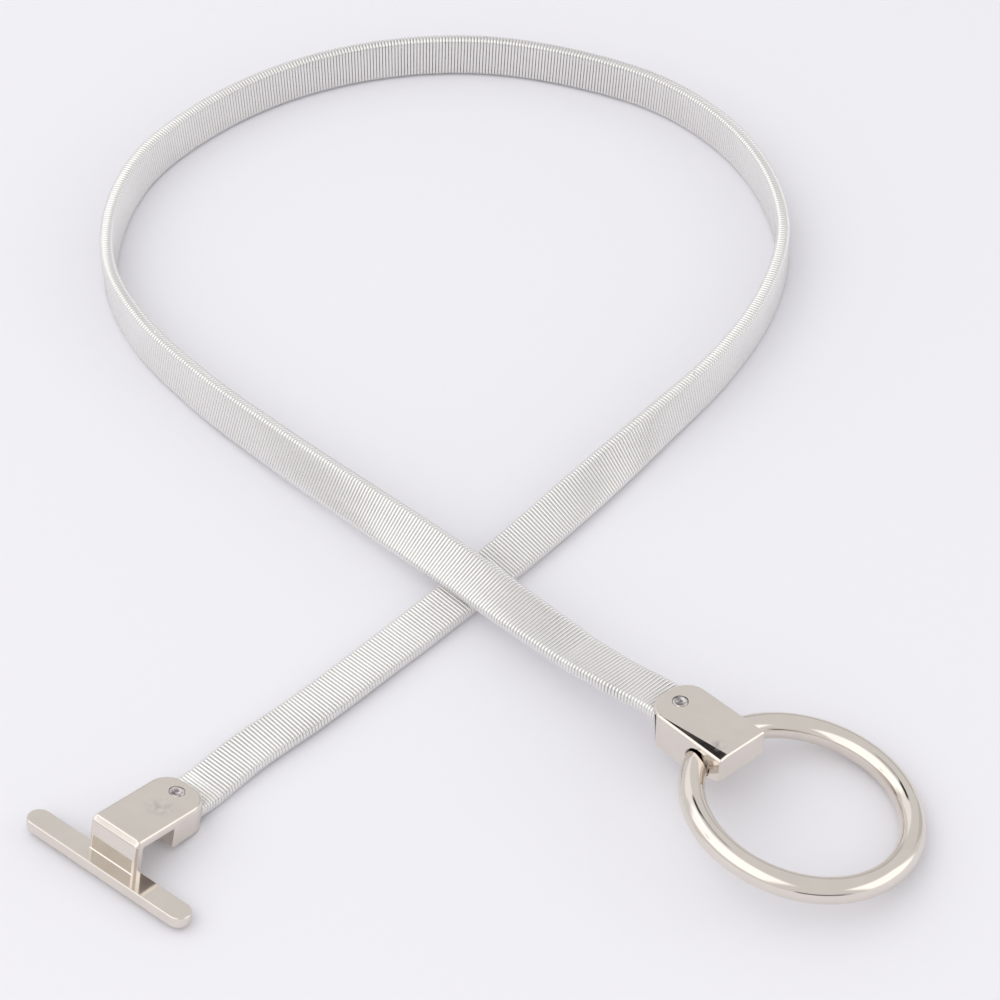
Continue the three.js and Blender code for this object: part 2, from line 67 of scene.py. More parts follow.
# The band's middle line from the clasp's leg round the loop to the hook's leg: plan position, height of the
# lower edge above the table, and tilt in degrees, 0 flat and 90 on edge.
BAND_STATIONS = [
    {"x": 24, "y": -61.5, "lift": 7.9, "tilt": -6},
    {"x": 9, "y": -47, "lift": 6.6, "tilt": 8},
    {"x": -9, "y": -28.5, "lift": 4.6, "tilt": 29},
    {"x": -29, "y": -8.5, "lift": 2.1, "tilt": 52},
    {"x": -49, "y": 11.5, "lift": 0.6, "tilt": 65},
    {"x": -67, "y": 30.5, "lift": 0, "tilt": 75},
    {"x": -81, "y": 49, "lift": 0, "tilt": 84},
    {"x": -89, "y": 67.5, "lift": 0, "tilt": 91},
    {"x": -90, "y": 88, "lift": 0, "tilt": 97},
    {"x": -84.5, "y": 108.5, "lift": 0, "tilt": 99},
    {"x": -71, "y": 127, "lift": 0, "tilt": 99},
    {"x": -52, "y": 142, "lift": 0, "tilt": 99},
    {"x": -29.5, "y": 151, "lift": 0, "tilt": 99},
    {"x": -5, "y": 153, "lift": 0, "tilt": 98},
    {"x": 19.5, "y": 147, "lift": 0, "tilt": 96},
    {"x": 40, "y": 136, "lift": 0, "tilt": 94},
    {"x": 54.5, "y": 120, "lift": 0, "tilt": 94},
    {"x": 63, "y": 101, "lift": 0, "tilt": 92},
    {"x": 65.5, "y": 80.5, "lift": 0, "tilt": 88},
    {"x": 60.5, "y": 59.5, "lift": 0, "tilt": 86},
    {"x": 50, "y": 39, "lift": 0, "tilt": 82},
    {"x": 34.5, "y": 18.5, "lift": 0, "tilt": 67},
    {"x": 16.5, "y": -3, "lift": 0, "tilt": 35},
    {"x": -2.5, "y": -24.5, "lift": 0, "tilt": 9},
    {"x": -21.5, "y": -45, "lift": 0, "tilt": -1},
    {"x": -39, "y": -63.5, "lift": 0, "tilt": -3},
    {"x": -51, "y": -75, "lift": 0, "tilt": -2},
    {"x": -58.5, "y": -83.5, "lift": 0, "tilt": 0},
]

# Where each casting lies, and the ring.
HOOK_PLACE = {"x": -74.3, "y": -102.8, "z": -0.05, "heading": 51, "pitch": -12.5, "roll": 0}
CLASP_PLACE = {"x": 47.3, "y": -84.6, "z": 15.2, "heading": -47.5, "pitch": 3.5, "roll": -4}
RING_OUTER_RADIUS = 24.8
RING_WIRE_RADIUS = 2.65
RING_MIDDLE = (58.8, -92.95)
RING_LEAN = math.radians(11.6)
RING_LEAN_HEADING = math.radians(19)
RING_MIDDLE_RADIUS = RING_OUTER_RADIUS - RING_WIRE_RADIUS
RING_STEPS = 192
RING_SECTION_SIDES = 40
CROSSING_STEPS = 7200

# Sizes shared by the two castings.
CASTING_WIDTH = 12.6
GAP = 0.3
HALF_POCKET = BAND_WIDTH / 2 + GAP
EDGE_SEGMENTS = 4
FLAT_ANGLE = math.radians(0.5)
SMALL_EDGE_ANGLE = math.radians(30)
SHARP_EDGE_ANGLE = math.radians(40)
FACE_WEIGHT = 100
# Shapes of a worn edge, for Blender's bevel: 0.25 is a flat chamfer and 0.5 a round one.
CHAMFERED = 0.3
ROUNDED = 0.5
ARC_STEP = math.radians(7.5)
CURVE_STEPS = 8
# How far a cutting solid reaches past what it cuts.
CUT_OVERSHOOT = 1
# How near a point has to be to an edge to count as on it, and how near two points have to be to be merged,
# in a new outline and after the cuts.
NEAR = 0.1
MERGE_DISTANCE = 1e-6
WELD_DISTANCE = 1e-4
END_CORNER_RADIUS = 4.8
RIVET_HEAD_RADIUS = 1.6
RIVET_RECESS_DEPTH = 0.7
RIVET_SIDE_GAP = 0.09
RIVET_SHANK_RADIUS = 0.9
RECESS_RADIUS = RIVET_HEAD_RADIUS + RIVET_SIDE_GAP
RIVET_HOLE_RADIUS = RIVET_SHANK_RADIUS + GAP
ROUND_SIDES = 40

# T-hook.
BAR_LENGTH = 42
BAR_DEPTH = 5.2
BAR_THICKNESS = 3
HOOK_WIDTH = 12.2
NECK_THICKNESS = 1.9
PLATE_TOP = 10.9
PLATE_THICKNESS = 1.9
PLATE_END = 19.8
PLATE_DROOP = math.radians(1.5)
OUTER_BEND_CUT = 1
INNER_BEND_RADIUS = 0.5
SLEEVE_FRONT = 8.8
SLEEVE_END = 19.4
SLEEVE_BOTTOM = 4.0
SLEEVE_WALL = 0.7
SLEEVE_REAR_ROUND = 2.2
BAR_TOP_EDGE = 0.22
BAR_LOWER_EDGE = 0.8
HOOK_SIDE_EDGE = 0.9
HOOK_BEND_EDGE = 0.28
NECK_FILLET = 0.2
HOOK_SMALL_EDGE = 0.15
HOOK_RIVET_X = 15.9
HOOK_RECESS_FLOOR = PLATE_TOP - math.tan(PLATE_DROOP) * HOOK_RIVET_X - RIVET_RECESS_DEPTH

# Ring clasp.
CLASP_LENGTH = 18
CLASP_TONGUE_END = 21.4
CLASP_TOP_THICKNESS = 1.1
CLASP_FRONT_HEIGHT = 6.4
CLASP_FRONT_ROUND = 1
CLASP_REAR_HEIGHT = 8.2
CLASP_REAR_ROUND = 2
CLASP_BRIDGE_BOTTOM = 10
BRIDGE_HALF_LENGTH = 4.2
BRIDGE_STEP = 0.6
POCKET_DEPTH = 5
CLASP_RIVET_X = -17.3
CLASP_TOP_EDGE = 0.45
CLASP_LOWER_EDGE = 0.3
CLASP_POCKET_BOTTOM = -CLASP_TOP_THICKNESS - BAND_THICKNESS - 2 * GAP

# The ring's tunnel in the clasp: distance from its middle and radius there.
TUNNEL_RADII = [
    {"along": 0, "radius": 3.93},
    {"along": 3.2, "radius": 3.73},
    {"along": 6.2, "radius": 3.15},
    {"along": 9, "radius": 3.8},
]

# Camera: 44 degrees above the table, a long lens from a little over 0.7 m.
CAMERA_ELEVATION = math.radians(44)
CAMERA_DISTANCE = 0.733
CAMERA_LENS = 122.4
CAMERA_CLIP_START = 0.01
SENSOR = 36


def place_matrix(place):
    """A casting's frame: heading, then how far its x points up, then roll."""
    turn = Matrix.Rotation(math.radians(place["heading"]), 4, "Z")
    turn = turn @ Matrix.Rotation(-math.radians(place["pitch"]), 4, "Y")
    turn = turn @ Matrix.Rotation(math.radians(place["roll"]), 4, "X")
    return Matrix.Translation((place["x"], place["y"], place["z"])) @ turn


def ring_matrix():
    height = RING_MIDDLE_RADIUS * math.sin(RING_LEAN) + RING_WIRE_RADIUS
    turn = Matrix.Rotation(RING_LEAN_HEADING, 4, "Z") @ Matrix.Rotation(RING_LEAN, 4, "Y")
    return Matrix.Translation((*RING_MIDDLE, height)) @ turn


ring_low, ring_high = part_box("ring")
SHIFT = Vector((
    (ring_low.x + ring_high.x) / 2 - RING_MIDDLE[0] * MM,
    (ring_low.y + ring_high.y) / 2 - RING_MIDDLE[1] * MM,
    0,
))
TO_MODEL = Matrix.Translation(SHIFT) @ Matrix.Scale(MM, 4)
hook_matrix = place_matrix(HOOK_PLACE)
clasp_matrix = place_matrix(CLASP_PLACE)


# Camera, lights and floor

def new_object(name, data):
    made = bpy.data.objects.new(name, data)
    bpy.context.scene.collection.objects.link(made)
    return made


def add_camera():
    data = bpy.data.cameras.new("camera")
    data.lens = CAMERA_LENS
    data.sensor_width = SENSOR
    data.clip_start = CAMERA_CLIP_START
    camera = new_object("camera", data)
    back = CAMERA_DISTANCE * math.cos(CAMERA_ELEVATION)
    camera.location = (SHIFT.x, SHIFT.y - back, CAMERA_DISTANCE * math.sin(CAMERA_ELEVATION))
    camera.rotation_euler = (math.pi / 2 - CAMERA_ELEVATION, 0, 0)
    bpy.context.scene.camera = camera


def direction(azimuth, elevation):
    """Azimuth is from +Y towards +X."""
    a = math.radians(azimuth)
    e = math.radians(elevation)
    return Vector((math.sin(a) * math.cos(e), math.cos(a) * math.cos(e), math.sin(e)))


# Big soft panels of light: where they stand as seen from the ring, size in metres, and the radiance that
# each adds to the room's own.
SOFT_PANELS = [
    {"name": "key_left", "azimuth": -115, "elevation": 50, "distance": 1.5,
     "width": 2.8, "height": 1.8, "radiance": 0.62},
    {"name": "bounce_left", "azimuth": -33, "elevation": 40, "distance": 2,
     "width": 1.3, "height": 1.4, "radiance": 0.26},
    {"name": "fill_right", "azimuth": 95, "elevation": 21, "distance": 1.3,
     "width": 1.2, "height": 0.86, "radiance": 0.62},
]
# Each panel is made of these shares of its radiance, one over the other at these sizes, so that its edges
# are soft.
PANEL_LAYERS = [
    {"share": 0.33, "size": 0.88},
    {"share": 0.34, "size": 1},
    {"share": 0.33, "size": 1.12},
]
PANEL_LAYER_SPACING = 0.01
# Dark and grey things round the set that the polished metal mirrors, not seen by the camera itself.
DARK_CARDS = [
    {"name": "dark_card_far", "azimuth": -11, "elevation": 52, "distance": 1.2,
     "width": 0.26, "height": 0.17, "radiance": 0.03},
    {"name": "dark_card_edge", "azimuth": -11, "elevation": 52, "distance": 1.22,
     "width": 0.31, "height": 0.22, "radiance": 0.45},
    {"name": "softbox_rim", "azimuth": -4, "elevation": 60, "distance": 1.25,
     "width": 0.09, "height": 0.44, "radiance": 0.14},
    {"name": "grey_card_low", "azimuth": 12, "elevation": 11, "distance": 1.6,
     "width": 1.5, "height": 0.46, "radiance": 0.56},
    {"name": "grey_card_right", "azimuth": 48, "elevation": 14, "distance": 1.4,
     "width": 0.4, "height": 0.5, "radiance": 0.6},
    {"name": "dark_card_near", "azimuth": 160, "elevation": 2.5, "distance": 1.0,
     "width": 0.7, "height": 0.1, "radiance": 0.03},
    {"name": "grey_card_near", "azimuth": 158, "elevation": 5, "distance": 1.05,
     "width": 0.9, "height": 0.24, "radiance": 0.5},
]
# A small card close to the hook: the foot of the neck, at the place given, mirrors it instead of the key
# light.
NECK_FOOT = (-75, -104, 4)
NECK_CARD = {"name": "neck_card", "azimuth": -92, "elevation": 49.5, "distance": 0.3,
             "width": 0.038, "height": 0.038, "radiance": 0.74}
ROOM_COLOR = (1, 0.995, 1, 1)
ROOM_STRENGTH = 0.76
FLOOR_SIZE = 6


def facing(place, target):
    """A rotation whose -Z looks from place to target."""
    return (target - place).to_track_quat("-Z", "Y").to_euler()


def add_soft_panel(row, target):
    for k, layer in enumerate(PANEL_LAYERS):
        data = bpy.data.lights.new(row["name"], "AREA")
        data.shape = "RECTANGLE"
        data.size = row["width"] * layer["size"]
        data.size_y = row["height"] * layer["size"]
        data.energy = row["radiance"] * layer["share"] * math.pi * data.size * data.size_y
        light = new_object(row["name"], data)
        away = row["distance"] + k * PANEL_LAYER_SPACING
        light.location = target + direction(row["azimuth"], row["elevation"]) * away
        light.rotation_euler = facing(light.location, target)


def rectangle_mesh(name, width, height, material):
    w = width / 2
    h = height / 2
    mesh = bpy.data.meshes.new(name)
    mesh.from_pydata([(-w, -h, 0), (w, -h, 0), (w, h, 0), (-w, h, 0)], [], [(0, 1, 2, 3)])
    mesh.materials.append(material)
    return mesh


def add_dark_card(row, target):
    material = card_material(row["radiance"])
    card = new_object(row["name"], rectangle_mesh("card", row["width"], row["height"], material))
    card.location = target + direction(row["azimuth"], row["elevation"]) * row["distance"]
    card.rotation_euler = facing(card.location, target)
    card.visible_camera = False
    card.visible_shadow = False
    card.visible_diffuse = False


def add_world():
    world = bpy.data.worlds.new("studio")
    world.use_nodes = True
    background = world.node_tree.nodes["Background"]
    background.inputs["Color"].default_value = ROOM_COLOR
    background.inputs["Strength"].default_value = ROOM_STRENGTH
    bpy.context.scene.world = world


def add_floor(material):
    floor = new_object("floor", rectangle_mesh("floor", FLOOR_SIZE, FLOOR_SIZE, material))


# Materials

# The finish that each material has before noise varies it.
FINISHES = {
    "spring_wire": {"color": (0.88, 0.87, 0.86), "roughness": 0.24, "metallic": 0.82},
    "polished_casting": {"color": (0.79, 0.73, 0.67), "roughness": 0.08, "metallic": 1},
    "rivet": {"color": (0.7, 0.67, 0.65), "roughness": 0.16, "metallic": 1},
    "floor": {"color": (0.88, 0.872, 0.912), "roughness": 0.6},
}
# The two tones and the range of roughness that the noise goes between.
MOTTLING = {
    "spring_wire": {"first": (0.872, 0.86, 0.845), "second": (0.848, 0.836, 0.82),
                    "polished": 0.22, "dull": 0.25},
    "polished_casting": {"first": (0.8, 0.743, 0.68), "second": (0.765, 0.708, 0.648),
                         "polished": 0.05, "dull": 0.14},
    # The rivet's dark second tone is painted reflection: noise lays it in patches over the head, in place of
    # the dark surroundings that its dish would mirror.
    "rivet": {"first": (0.8, 0.76, 0.74), "second": (0.28, 0.26, 0.27), "polished": 0.08, "dull": 0.3},
}
# The noises' scale, for lengths in metres, and their detail.
NOISES = {
    "wire_smudge": {"scale": 70, "detail": 2},
    "wire_grain": {"scale": 2600, "detail": 2},
    "casting_smudge": {"scale": 160, "detail": 4},
    "casting_cloud": {"scale": 620, "detail": 3},
    "casting_scratches": {"scale": 2600, "detail": 2, "stretch": (0.06, 1, 1)},
    "casting_waves": {"scale": 260, "detail": 1},
    "rivet_grain_and_painted_reflection": {"scale": 800, "detail": 3},
}
# How strong each bump is, and its depth in metres.
BUMPS = {
    "spring_wire": {"strength": 0.05, "distance": 0.00002},
    "polished_casting": {"strength": 0.1, "distance": 0.00004},
    "rivet": {"strength": 0.3, "distance": 0.00012},
}
SCRATCH_SHARE = 0.12
WORN_COLOR = (0.5, 0.47, 0.46)
WORN_ROUGHNESS = 0.4
# The part of the noise's range over which the worn patches, and the rivets' dark tone of painted reflection,
# fade in.
WORN_NOISE = {"start": 0.42, "end": 0.6}
RIVET_PAINTED_REFLECTION_NOISE = {"start": 0.38, "end": 0.62}
FLOOR_SPECULAR = 0.25


def new_material(name, color, roughness, metallic=0):
    material = bpy.data.materials.new(name)
    material.use_nodes = True
    shader = material.node_tree.nodes["Principled BSDF"]
    shader.inputs["Base Color"].default_value = (*color, 1)
    shader.inputs["Roughness"].default_value = roughness
    shader.inputs["Metallic"].default_value = metallic
    return material, shader


def node(material, kind, **inputs):
    """A new node, with its inputs set by name."""
    made = material.node_tree.nodes.new(kind)
    for name, value in inputs.items():
        made.inputs[name.replace("_", " ")].default_value = value
    return made


def link(material, source, target):
    material.node_tree.links.new(source, target)


def noise_texture(material, scale, detail, stretch=(1, 1, 1)):
    """Noise in the piece's own space, in metres, stretched along an axis if asked."""
    space = node(material, "ShaderNodeTexCoord")
    mapping = node(material, "ShaderNodeMapping", Scale=stretch)
    noise = node(material, "ShaderNodeTexNoise", Scale=scale, Detail=detail)
    link(material, space.outputs["Object"], mapping.inputs["Vector"])
    link(material, mapping.outputs["Vector"], noise.inputs["Vector"])
    return noise


def ranged(material, source, low, high, start=0.3, end=0.7):
    """Maps a value that goes from start to end to the range from low to high."""
    mapped = node(material, "ShaderNodeMapRange", From_Min=start, From_Max=end, To_Min=low, To_Max=high)
    link(material, source, mapped.inputs["Value"])
    return mapped.outputs["Result"]


def color_mix(material, factor, first, second):
    mix = material.node_tree.nodes.new("ShaderNodeMix")
    mix.data_type = "RGBA"
    mix.inputs["A"].default_value = (*first, 1)
    mix.inputs["B"].default_value = (*second, 1)
    link(material, factor, mix.inputs["Factor"])
    return mix.outputs["Result"]


def add_bump(material, shader, height, strength, distance):
    bump = node(material, "ShaderNodeBump", Strength=strength, Distance=distance)
    link(material, height, bump.inputs["Height"])
    link(material, bump.outputs["Normal"], shader.inputs["Normal"])


def spring_wire_material():
    look = MOTTLING["spring_wire"]
    material, shader = new_material("spring_wire", **FINISHES["spring_wire"])
    smudge = noise_texture(material, **NOISES["wire_smudge"]).outputs["Fac"]
    link(material, ranged(material, smudge, look["polished"], look["dull"]), shader.inputs["Roughness"])
    tone = color_mix(material, ranged(material, smudge, 0, 1), look["first"], look["second"])
    link(material, tone, shader.inputs["Base Color"])
    grain = noise_texture(material, **NOISES["wire_grain"])
    add_bump(material, shader, grain.outputs["Fac"], **BUMPS["spring_wire"])
    return material


def math_node(material, operation, first, second):
    made = material.node_tree.nodes.new("ShaderNodeMath")
    made.operation = operation
    for socket, value in zip(made.inputs, (first, second)):
        if isinstance(value, (int, float)):
            socket.default_value = value
        else:
            link(material, value, socket)
    return made.outputs["Value"]


# Worn patches on the castings: where they are in the casting's frame, how far they reach, how strong.
SCUFFS = [
    {"frame": hook_matrix, "x": 9.9, "y": -1.1, "z": PLATE_TOP, "reach": 3.6, "strength": 0.55},
    {"frame": clasp_matrix, "x": -3.4, "y": -3.4, "z": 0, "reach": 1.9, "strength": 0.9},
]


def scuff_factor(material, cloud):
    """How worn the metal is at a point: cloudy patches round the places in the table."""
    space = node(material, "ShaderNodeTexCoord")
    worn = 0
    for row in SCUFFS:
        place = TO_MODEL @ row["frame"] @ Vector((row["x"], row["y"], row["z"]))
        away = material.node_tree.nodes.new("ShaderNodeVectorMath")
        away.operation = "DISTANCE"
        link(material, space.outputs["Object"], away.inputs[0])
        away.inputs[1].default_value = place
        near = ranged(material, away.outputs["Value"], row["strength"], 0, 0, row["reach"] * MM)
        patchy = math_node(material, "MULTIPLY", near, ranged(material, cloud, 0, 1, **WORN_NOISE))
        worn = math_node(material, "MAXIMUM", patchy, worn)
    return worn


def casting_material():
    look = MOTTLING["polished_casting"]
    material, shader = new_material("polished_casting", **FINISHES["polished_casting"])
    smudge = noise_texture(material, **NOISES["casting_smudge"]).outputs["Fac"]
    cloud = noise_texture(material, **NOISES["casting_cloud"]).outputs["Fac"]
    worn = scuff_factor(material, cloud)
    polish = ranged(material, smudge, look["polished"], look["dull"])
    rough = math_node(material, "ADD", polish, math_node(material, "MULTIPLY", worn, WORN_ROUGHNESS))
    link(material, rough, shader.inputs["Roughness"])
    tone = color_mix(material, ranged(material, smudge, 0, 1), look["first"], look["second"])
    worn_tone = color_mix(material, worn, look["first"], WORN_COLOR)
    link(material, tone, worn_tone.node.inputs["A"])
    link(material, worn_tone, shader.inputs["Base Color"])
    scratches = noise_texture(material, **NOISES["casting_scratches"])
    waves = noise_texture(material, **NOISES["casting_waves"])
    both = node(material, "ShaderNodeMath")
    both.operation = "MULTIPLY_ADD"
    both.inputs[1].default_value = SCRATCH_SHARE
    link(material, scratches.outputs["Fac"], both.inputs[0])
    link(material, waves.outputs["Fac"], both.inputs[2])
    add_bump(material, shader, both.outputs["Value"], **BUMPS["polished_casting"])
    return material


def rivet_material():
    look = MOTTLING["rivet"]
    material, shader = new_material("rivet", **FINISHES["rivet"])
    grain = noise_texture(material, **NOISES["rivet_grain_and_painted_reflection"]).outputs["Fac"]
    link(material, ranged(material, grain, look["polished"], look["dull"]), shader.inputs["Roughness"])
    # Painted reflection: the noise mixes dark patches into the head's colour, standing in for the dark
    # reflections in its dish.
    factor = ranged(material, grain, 0, 1, **RIVET_PAINTED_REFLECTION_NOISE)
    tone = color_mix(material, factor, look["first"], look["second"])
    link(material, tone, shader.inputs["Base Color"])
    add_bump(material, shader, grain, **BUMPS["rivet"])
    return material


def floor_material():
    material, shader = new_material("floor", **FINISHES["floor"])
    shader.inputs["Specular IOR Level"].default_value = FLOOR_SPECULAR
    return material


def card_material(radiance):
    """A card that shows one even brightness from every side."""
    material, shader = new_material("card", (0, 0, 0), 1)
    shader.inputs["Specular IOR Level"].default_value = 0
    shader.inputs["Emission Color"].default_value = (1, 1, 1, 1)
    shader.inputs["Emission Strength"].default_value = radiance
    return material


# Band path and coil

BAND_CLASP_Z = -CLASP_TOP_THICKNESS - GAP - BAND_THICKNESS / 2
SLEEVE_FLOOR = SLEEVE_BOTTOM + SLEEVE_WALL
BAND_HOOK_Z = SLEEVE_FLOOR + GAP + BAND_THICKNESS / 2
HOOK_BAND_END = SLEEVE_FRONT + SLEEVE_WALL + GAP
POCKET_FLOOR_X = POCKET_DEPTH - CLASP_LENGTH
CLASP_BAND_END = POCKET_FLOOR_X - GAP


def half_height(tilt):
    """Half the band's height when it is turned by tilt degrees."""
    turn = np.radians(tilt)
    across = (BAND_WIDTH / 2 - BAND_CORNER_RADIUS) * np.abs(np.sin(turn))
    through = (BAND_THICKNESS / 2 - BAND_CORNER_RADIUS) * np.abs(np.cos(turn))
    return across + through + BAND_CORNER_RADIUS


def station_in(matrix, x, z, tilt):
    """A station where the band's middle line follows a casting."""
    point = matrix @ Vector((x, 0, z))
    return {"x": point.x, "y": point.y, "lift": point.z - half_height(tilt), "tilt": tilt}


def all_stations():
    roll = CLASP_PLACE["roll"]
    in_clasp = [CLASP_BAND_END, -CLASP_LENGTH, -CLASP_TONGUE_END]
    in_hook = [SLEEVE_END, SLEEVE_END - SLEEVE_REAR_ROUND, HOOK_BAND_END]
    rows = [station_in(clasp_matrix, x, BAND_CLASP_Z, roll) for x in in_clasp]
    rows += BAND_STATIONS
    rows += [station_in(hook_matrix, x, BAND_HOOK_Z, 0) for x in in_hook]
    return rows


def smooth_rows(stations, step_length):
    """A smooth curve through the stations in all four columns, as an array of x, y, lift and tilt."""
    table = np.array([[row["x"], row["y"], row["lift"], row["tilt"]] for row in stations], float)
    gaps = np.hypot(*np.diff(table[:, :2], axis=0).T)
    rises = np.diff(table, axis=0) / gaps[:, None]
    slopes = np.empty_like(table)
    slopes[0] = rises[0]
    slopes[-1] = rises[-1]
    before = gaps[:-1, None]
    after = gaps[1:, None]
    slopes[1:-1] = (rises[:-1] * after + rises[1:] * before) / (before + after)
    rows = []
    for i, gap in enumerate(gaps):
        steps = max(1, round(gap / step_length))
        t = (np.arange(0 if i == 0 else 1, steps + 1) / steps)[:, None]
        ends = table[i] * (1 + 2 * t) * (1 - t) ** 2 + table[i + 1] * (3 - 2 * t) * t ** 2
        bends = slopes[i] * t * (1 - t) ** 2 - slopes[i + 1] * (1 - t) * t ** 2
        rows.append(ends + gap * bends)
    rows = np.vstack(rows)
    rows[:, 2] = np.maximum(rows[:, 2], 0)
    return rows


def unit(vectors):
    return vectors / np.linalg.norm(vectors, axis=-1, keepdims=True)


def band_frames():
    """The middle line with its distance along, its width direction and its outward direction."""
    rows = smooth_rows(all_stations(), PATH_STEP)
    tilt = np.radians(rows[:, 3])[:, None]
    middle = np.column_stack([rows[:, 0], rows[:, 1], rows[:, 2] + half_height(rows[:, 3])])
    along = unit(np.gradient(middle, axis=0))
    inward = unit(np.column_stack([along[:, 1], -along[:, 0], np.zeros(len(along))]))
    up = np.cross(inward, along)
    width = inward * np.cos(tilt) + up * np.sin(tilt)
    through = -np.cross(along, width)
    lengths = np.linalg.norm(np.diff(middle, axis=0), axis=1)
    distance = np.concatenate([[0], np.cumsum(lengths)])
    return distance, middle, width, through


def turn_outline():
    """One turn of the wire's middle line round the band: across, through, the outward direction, and the
    share of the turn that has gone by."""
    half_across = BAND_WIDTH / 2 - BAND_CORNER_RADIUS
    half_through = BAND_THICKNESS / 2 - BAND_CORNER_RADIUS
    radius = BAND_CORNER_RADIUS - WIRE_DIAMETER / 2
    points = []
    for corner in range(4):
        sign_across = 1 if corner in (0, 3) else -1
        sign_through = 1 if corner < 2 else -1
        for step in range(CORNER_STEPS + 1):
            angle = (corner + step / CORNER_STEPS) * math.pi / 2
            out = (math.cos(angle), math.sin(angle))
            points.append((sign_across * half_across + radius * out[0],
                           sign_through * half_through + radius * out[1], *out))
        if corner in (0, 2):
            for step in range(1, FACE_STEPS):
                share = 1 - 2 * step / FACE_STEPS
                points.append((sign_across * half_across * share,
                               sign_through * (half_through + radius), 0, sign_through))
    points = np.array(points)
    closed = np.vstack([points, points[:1]])
    lengths = np.linalg.norm(np.diff(closed[:, :2], axis=0), axis=1)
    share = np.concatenate([[0], np.cumsum(lengths)])[:-1] / lengths.sum()
    return points, share


def interpolated(distance, values, at):
    return np.column_stack([np.interp(at, distance, values[:, k]) for k in range(3)])


def wire_line():
    """The whole wire: its middle line and the direction that points out of the band at each point."""
    distance, middle, width, through = band_frames()
    outline, share = turn_outline()
    turns = int(distance[-1] / WIRE_PITCH)
    at = ((np.arange(turns)[:, None] + share) * WIRE_PITCH).ravel()
    across, depth, out_across, out_depth = np.tile(outline, (turns, 1)).T[:, :, None]
    place = interpolated(distance, middle, at)
    width = unit(interpolated(distance, width, at))
    through = unit(interpolated(distance, through, at))
    line = place + width * across + through * depth
    outward = width * out_across + through * out_depth
    return line, outward, turns, len(share)


def tube_mesh(name, line, outward, radius, sides):
    """A closed round tube along a line, with flat ends."""
    tangent = unit(np.gradient(line, axis=0))
    normal = unit(outward - tangent * (outward * tangent).sum(1, keepdims=True))
    side = np.cross(tangent, normal)
    angles = np.arange(sides) * 2 * math.pi / sides
    circle = normal[:, None] * np.cos(angles)[:, None] + side[:, None] * np.sin(angles)[:, None]
    points = (line[:, None] + circle * radius).reshape(-1, 3)
    count = len(line)
    rows = np.arange(count - 1)[:, None] * sides
    here = np.arange(sides)
    after = (here + 1) % sides
    corners = [rows + here, rows + after, rows + sides + after, rows + sides + here]
    faces = np.stack(corners, -1).reshape(-1, 4).tolist()
    faces.append(list(range(sides))[::-1])
    faces.append(list(range((count - 1) * sides, count * sides)))
    mesh = bpy.data.meshes.new(name)
    mesh.from_pydata(points.tolist(), [], faces)
    mesh.transform(TO_MODEL)
    mesh.shade_smooth()
    return mesh


def add_piece(name, mesh, material, body, slot, *replaced):
    piece = new_object(name, mesh)
    mesh.materials.clear()
    mesh.materials.append(material)
    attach(piece, body)
    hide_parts(*replaced)
    return piece


def add_coil(material):
    line, outward, turns, per_turn = wire_line()
    cuts = [round(turns * k / COIL_PIECES) * per_turn for k in range(COIL_PIECES + 1)]
    for k in range(COIL_PIECES):
        start = cuts[k]
        end = min(cuts[k + 1] + 1, len(line))
        name = f"spring_coil_{k + 1}"
        mesh = tube_mesh(name, line[start:end], outward[start:end], DRAWN_WIRE_RADIUS, WIRE_SIDES)
        add_piece(name, mesh, material, "belt", "spring_wire", "spring_band")


# Solids for the castings

def arc(centre, radius, start, end):
    """Points on an arc, from start to end in radians, both ends included."""
    steps = max(2, math.ceil(abs(end - start) / ARC_STEP))
    angles = [start + (end - start) * k / steps for k in range(steps + 1)]
    return [(centre[0] + radius * math.cos(a), centre[1] + radius * math.sin(a)) for a in angles]


def curve(start, control, end):
    """Points on a quadratic curve, without its start."""
    points = []
    for k in range(1, CURVE_STEPS + 1):
        t = k / CURVE_STEPS
        points.append(tuple(
            start[i] * (1 - t) ** 2 + 2 * control[i] * t * (1 - t) + end[i] * t ** 2 for i in range(2)
        ))
    return points


def prism(name, outline, low, high, upright=True):
    """An outline in x and y extruded up, or one in x and z extruded across."""
    def corner(x, other, level):
        return (x, other, level) if upright else (x, level, other)
    count = len(outline)
    points = [corner(*p, low) for p in outline] + [corner(*p, high) for p in outline]
    faces = [list(range(count))[::-1], [k + count for k in range(count)]]
    for k in range(count):
        after = (k + 1) % count
        faces.append([k, after, after + count, k + count])
    mesh = bpy.data.meshes.new(name)
    mesh.from_pydata(points, [], faces)
    shape = bmesh.new()
    shape.from_mesh(mesh)
    bmesh.ops.remove_doubles(shape, verts=shape.verts, dist=MERGE_DISTANCE)
    bmesh.ops.recalc_face_normals(shape, faces=shape.faces)
    shape.to_mesh(mesh)
    shape.free()
    return new_object(name, mesh)


def box(name, low, high):
    outline = [(low[0], low[1]), (high[0], low[1]), (high[0], high[1]), (low[0], high[1])]
    return prism(name, outline, low[2], high[2])


def cylinder(name, radius, bottom, top, x):
    outline = arc((x, 0), radius, 0, 2 * math.pi)[:-1]
    return prism(name, outline, bottom, top)


def boolean(target, tool, operation):
    modifier = target.modifiers.new(operation, "BOOLEAN")
    modifier.operation = operation
    modifier.solver = "MANIFOLD"
    modifier.object = tool
    apply_modifiers(target)
    bpy.data.objects.remove(tool)


def apply_modifiers(target):
    bpy.context.view_layer.update()
    evaluated = target.evaluated_get(bpy.context.evaluated_depsgraph_get())
    mesh = bpy.data.meshes.new_from_object(evaluated)
    target.modifiers.clear()
    target.data = mesh


